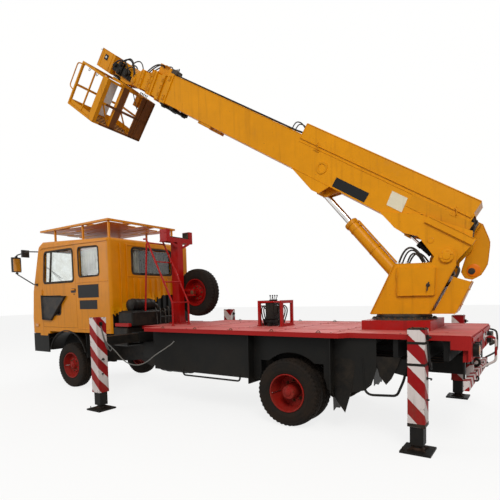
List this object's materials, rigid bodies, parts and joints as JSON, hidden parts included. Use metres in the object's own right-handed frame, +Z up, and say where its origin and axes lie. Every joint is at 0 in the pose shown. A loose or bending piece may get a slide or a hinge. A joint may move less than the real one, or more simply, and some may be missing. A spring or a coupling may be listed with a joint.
{
  "type": "cherry picker truck",
  "caption": "Cab-over truck with a flat deck, slewing turret, telescopic boom, tilting work basket and four sliding outriggers with jacks.",
  "frame": {"origin": "on the ground, at the middle of the overall length and width", "axes": "+X forward, +Y to the left side, +Z up"},
  "size_m": [9.27, 4.04, 6.9559],
  "materials": {
    "yellow_paint": "worn gloss paint",
    "red_paint": "worn satin paint",
    "black_paint": "dusty satin paint",
    "hazard_paint": "red and white slanted stripes",
    "dark_iron": "greasy cast iron",
    "glass": "clear window glass",
    "lamp_glass": "moulded lens",
    "seat_cloth": "woven seat cloth",
    "dark_plastic": "grained plastic",
    "black_plastic": "grained plastic",
    "tyre": "road tyre",
    "rubber": "sheet rubber",
    "chrome": "chromed rod"
  },
  "bodies": {
    "truck": {"chassis_frame": "black_paint", "engine_block": "dark_iron", "front_axle": "black_paint", "rear_axle": "black_paint", "drive_shaft": "black_paint", "cab_shell": "yellow_paint", "cab_glass": "glass", "cab_seats": "seat_cloth", "dashboard": "dark_plastic", "front_bumper": "black_paint", "lamps": "lamp_glass", "mirrors": "black_plastic", "roof_rack": "yellow_paint", "ladder": "red_paint", "boom_rest": "red_paint", "spare_tyre": "tyre", "spare_rim": "red_paint", "deck": "red_paint", "deck_stand": "red_paint", "tanks": "black_paint", "mudguards": "rubber", "tail_bar": "hazard_paint", "outrigger_sleeves": "black_paint", "turret_base": "red_paint", "slew_ring": "dark_iron"},
    "steer_left": {"knuckle_left": "dark_iron"},
    "wheel_front_left": {"front_rim_left": "red_paint", "front_tyre_left": "tyre"},
    "wheel_rear_left": {"rear_rim_left": "red_paint", "rear_tyre_left": "tyre"},
    "door_left": {"door_left": "yellow_paint", "door_glass_left": "glass"},
    "steer_right": {"knuckle_right": "dark_iron"},
    "wheel_front_right": {"front_rim_right": "red_paint", "front_tyre_right": "tyre"},
    "wheel_rear_right": {"rear_rim_right": "red_paint", "rear_tyre_right": "tyre"},
    "door_right": {"door_right": "yellow_paint", "door_glass_right": "glass"},
    "outrigger_front_left": {"leg_front_left": "hazard_paint"},
    "jack_front_left": {"jack_front_left": "black_paint"},
    "outrigger_front_right": {"leg_front_right": "hazard_paint"},
    "jack_front_right": {"jack_front_right": "black_paint"},
    "outrigger_rear_left": {"leg_rear_left": "hazard_paint"},
    "jack_rear_left": {"jack_rear_left": "black_paint"},
    "outrigger_rear_right": {"leg_rear_right": "hazard_paint"},
    "jack_rear_right": {"jack_rear_right": "black_paint"},
    "turret": {"turret": "yellow_paint"},
    "boom": {"boom_base": "yellow_paint"},
    "boom_second": {"boom_second": "yellow_paint"},
    "boom_third": {"boom_third": "yellow_paint"},
    "basket_head": {"basket_head": "yellow_paint"},
    "basket": {"basket": "yellow_paint"},
    "lift_barrel": {"lift_barrel": "yellow_paint"},
    "lift_rod": {"lift_rod": "chrome"},
    "level_barrel": {"level_barrel": "black_paint"},
    "level_rod": {"level_rod": "chrome"}
  },
  "joints": [
    {"name": "steering_left", "type": "hinge", "parent": "truck", "child": "steer_left", "pos_m": [3.09, 0.735, 0.48], "axis": [0, 0, 1], "range_deg": [-32, 32]},
    {"name": "spin_front_left", "type": "hinge", "parent": "steer_left", "child": "wheel_front_left", "pos_m": [3.09, 0.92, 0.48], "axis": [0, 1, 0], "continuous": true},
    {"name": "spin_rear_left", "type": "hinge", "parent": "truck", "child": "wheel_rear_left", "pos_m": [-2.21, 1.055, 0.48], "axis": [0, 1, 0], "continuous": true},
    {"name": "door_left_swing", "type": "hinge", "parent": "truck", "child": "door_left", "pos_m": [3.94, 1.105, 1.775], "axis": [0, 0, -1], "range_deg": [0, 68]},
    {"name": "steering_right", "type": "hinge", "parent": "truck", "child": "steer_right", "pos_m": [3.09, -0.735, 0.48], "axis": [0, 0, 1], "range_deg": [-32, 32]},
    {"name": "spin_front_right", "type": "hinge", "parent": "steer_right", "child": "wheel_front_right", "pos_m": [3.09, -0.92, 0.48], "axis": [0, 1, 0], "continuous": true},
    {"name": "spin_rear_right", "type": "hinge", "parent": "truck", "child": "wheel_rear_right", "pos_m": [-2.21, -1.055, 0.48], "axis": [0, 1, 0], "continuous": true},
    {"name": "door_right_swing", "type": "hinge", "parent": "truck", "child": "door_right", "pos_m": [3.94, -1.105, 1.775], "axis": [0, 0, 1], "range_deg": [0, 68]},
    {"name": "outrigger_front_left_slide", "type": "slide", "parent": "truck", "child": "outrigger_front_left", "axis": [0, 1, 0], "range_m": [-0.66, 0.2]},
    {"name": "jack_front_left_slide", "type": "slide", "parent": "outrigger_front_left", "child": "jack_front_left", "axis": [0, 0, -1], "range_m": [-0.225, 0.12]},
    {"name": "outrigger_front_right_slide", "type": "slide", "parent": "truck", "child": "outrigger_front_right", "axis": [0, -1, 0], "range_m": [-0.66, 0.2]},
    {"name": "jack_front_right_slide", "type": "slide", "parent": "outrigger_front_right", "child": "jack_front_right", "axis": [0, 0, -1], "range_m": [-0.225, 0.12]},
    {"name": "outrigger_rear_left_slide", "type": "slide", "parent": "truck", "child": "outrigger_rear_left", "axis": [0, 1, 0], "range_m": [0, 0.86]},
    {"name": "jack_rear_left_slide", "type": "slide", "parent": "outrigger_rear_left", "child": "jack_rear_left", "axis": [0, 0, -1], "range_m": [-0.225, 0.12]},
    {"name": "outrigger_rear_right_slide", "type": "slide", "parent": "truck", "child": "outrigger_rear_right", "axis": [0, -1, 0], "range_m": [-0.66, 0.2]},
    {"name": "jack_rear_right_slide", "type": "slide", "parent": "outrigger_rear_right", "child": "jack_rear_right", "axis": [0, 0, -1], "range_m": [-0.225, 0.12]},
    {"name": "slew", "type": "hinge", "parent": "truck", "child": "turret", "pos_m": [-3.51, 0, 1.5], "axis": [0, 0, 1], "range_deg": [-180, 180]},
    {"name": "boom_lift", "type": "hinge", "parent": "turret", "child": "boom", "pos_m": [-4.08859, -0.04046, 2.3], "axis": [0.0698, -0.9976, 0], "range_deg": [-14.5, 42.5]},
    {"name": "lift_barrel_swing", "type": "hinge", "parent": "turret", "child": "lift_barrel", "pos_m": [-3.52995, -0.00139, 1.97], "axis": [0.0698, -0.9976, 0], "range_deg": [-14.86, 41.63]},
    {"name": "lift_rod_slide", "type": "slide", "parent": "lift_barrel", "child": "lift_rod", "axis": [0.6348, 0.0444, 0.7714], "range_m": [-0.201, 0.571]},
    {"name": "level_barrel_swing", "type": "hinge", "parent": "turret", "child": "level_barrel", "pos_m": [-3.90903, -0.0279, 2.32], "axis": [0.0698, -0.9976, 0], "range_deg": [-18.13, 51.22]},
    {"name": "level_rod_slide", "type": "slide", "parent": "level_barrel", "child": "level_rod", "axis": [0.6929, 0.0485, 0.7194], "range_m": [-0.045, 0.113]},
    {"name": "second_section_slide", "type": "slide", "parent": "boom", "child": "boom_second", "axis": [0.8413, 0.0588, 0.5373], "range_m": [0, 4]},
    {"name": "third_section_slide", "type": "slide", "parent": "boom_second", "child": "boom_third", "axis": [0.8413, 0.0588, 0.5373], "range_m": [0, 4]},
    {"name": "basket_level", "type": "hinge", "parent": "boom_third", "child": "basket_head", "pos_m": [1.42509, 0.34509, 6.09389], "axis": [-0.0698, 0.9976, 0], "range_deg": [-10, 32]},
    {"name": "basket_turn", "type": "hinge", "parent": "basket_head", "child": "basket", "pos_m": [1.8208, 0.37277, 6.39827], "axis": [-0.6073, -0.0425, 0.7934], "range_deg": [-90, 90]}
  ],
  "couplings": [
    {"joint": "steering_right", "follows": "steering_left", "ratio": 1},
    {"joint": "lift_barrel_swing", "follows": "boom_lift", "ratio": 0.9561},
    {"joint": "lift_rod_slide", "follows": "boom_lift", "m_per_rad": 0.7558},
    {"joint": "level_barrel_swing", "follows": "boom_lift", "ratio": 1.1816},
    {"joint": "level_rod_slide", "follows": "boom_lift", "m_per_rad": 0.1393}
  ]
}
